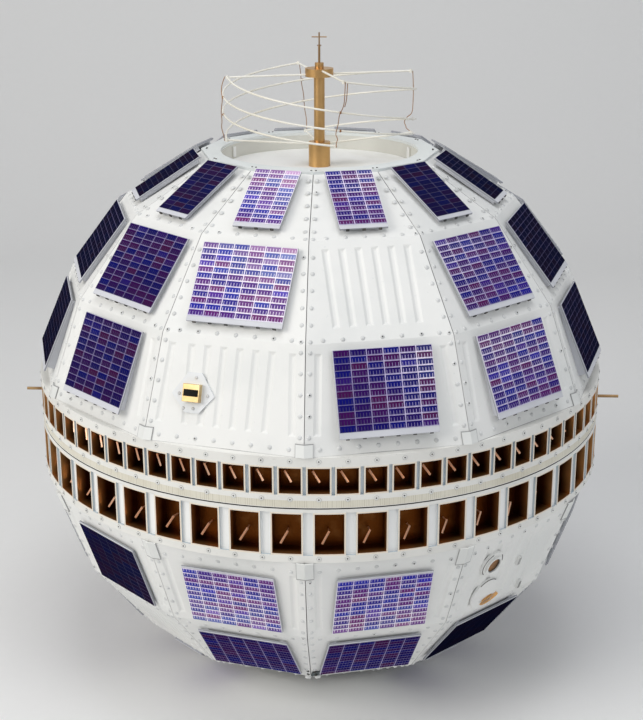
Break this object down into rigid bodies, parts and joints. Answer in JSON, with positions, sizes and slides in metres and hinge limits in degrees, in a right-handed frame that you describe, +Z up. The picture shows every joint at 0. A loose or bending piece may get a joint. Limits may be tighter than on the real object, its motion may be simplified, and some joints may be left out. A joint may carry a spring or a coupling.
{
  "type": "spin stabilised communications satellite",
  "caption": "Near spherical many sided satellite with cell panels, a double antenna belt round its equator and a wire coil antenna on a mast.",
  "frame": {"origin": "centre of the underside of the attach ring, on the floor", "axes": "+Z up along the spin axis towards the mast, -Y towards the seam that faces the viewer, +X to the right"},
  "size_m": [0.936, 0.8722, 0.9759],
  "materials": {
    "gold_anodised": "satin gold",
    "bare_aluminium": "satin bare metal",
    "white_coat": "satin sprayed white coating on aluminium",
    "solar_cells": "glossy deep blue and violet cells under clear covers",
    "band_plastic": "matt beige",
    "wire_enamel": "satin cream",
    "lashing_cord": "brown waxed cord",
    "belt_coat": "satin warm white outside, copper inside the cavities",
    "copper": "bare copper",
    "well_coat": "satin blue grey coating"
  },
  "bodies": {
    "root": {"antenna_hub": "gold_anodised", "attach_ring": "bare_aluminium", "base_plate": "white_coat", "canister_struts": "bare_aluminium", "cell_panels_lower_a": "solar_cells", "cell_panels_lower_b": "solar_cells", "cell_panels_lower_c": "solar_cells", "cell_panels_upper_a": "solar_cells", "cell_panels_upper_b": "solar_cells", "cell_panels_upper_c": "solar_cells", "electronics_canister": "bare_aluminium", "equator_band": "band_plastic", "gore_lower_01": "white_coat", "gore_lower_02": "white_coat", "gore_lower_03": "white_coat", "gore_lower_04": "white_coat", "gore_lower_05": "white_coat", "gore_lower_06": "white_coat", "gore_lower_07": "white_coat", "gore_lower_08": "white_coat", "gore_lower_09": "white_coat", "gore_lower_10": "white_coat", "gore_lower_11": "white_coat", "gore_lower_12": "white_coat", "gore_upper_01": "white_coat", "gore_upper_02": "white_coat", "gore_upper_03": "white_coat", "gore_upper_04": "white_coat", "gore_upper_05": "white_coat", "gore_upper_06": "white_coat", "gore_upper_07": "white_coat", "gore_upper_08": "white_coat", "gore_upper_09": "white_coat", "gore_upper_10": "white_coat", "gore_upper_11": "white_coat", "gore_upper_12": "white_coat", "helix_low_arms": "wire_enamel", "helix_ties": "lashing_cord", "helix_top_arms": "wire_enamel", "helix_wires": "wire_enamel", "mast_sleeve": "gold_anodised", "mast_tube": "gold_anodised", "receive_antenna_ring": "belt_coat", "receive_probes": "copper", "seam_covers": "white_coat", "service_ports": "gold_anodised", "side_pins": "bare_aluminium", "sun_sensor_bases": "white_coat", "sun_sensors": "gold_anodised", "tip_rod": "gold_anodised", "top_plate": "white_coat", "top_well": "well_coat", "transmit_antenna_ring": "belt_coat", "transmit_probes": "copper"}
  },
  "joints": []
}
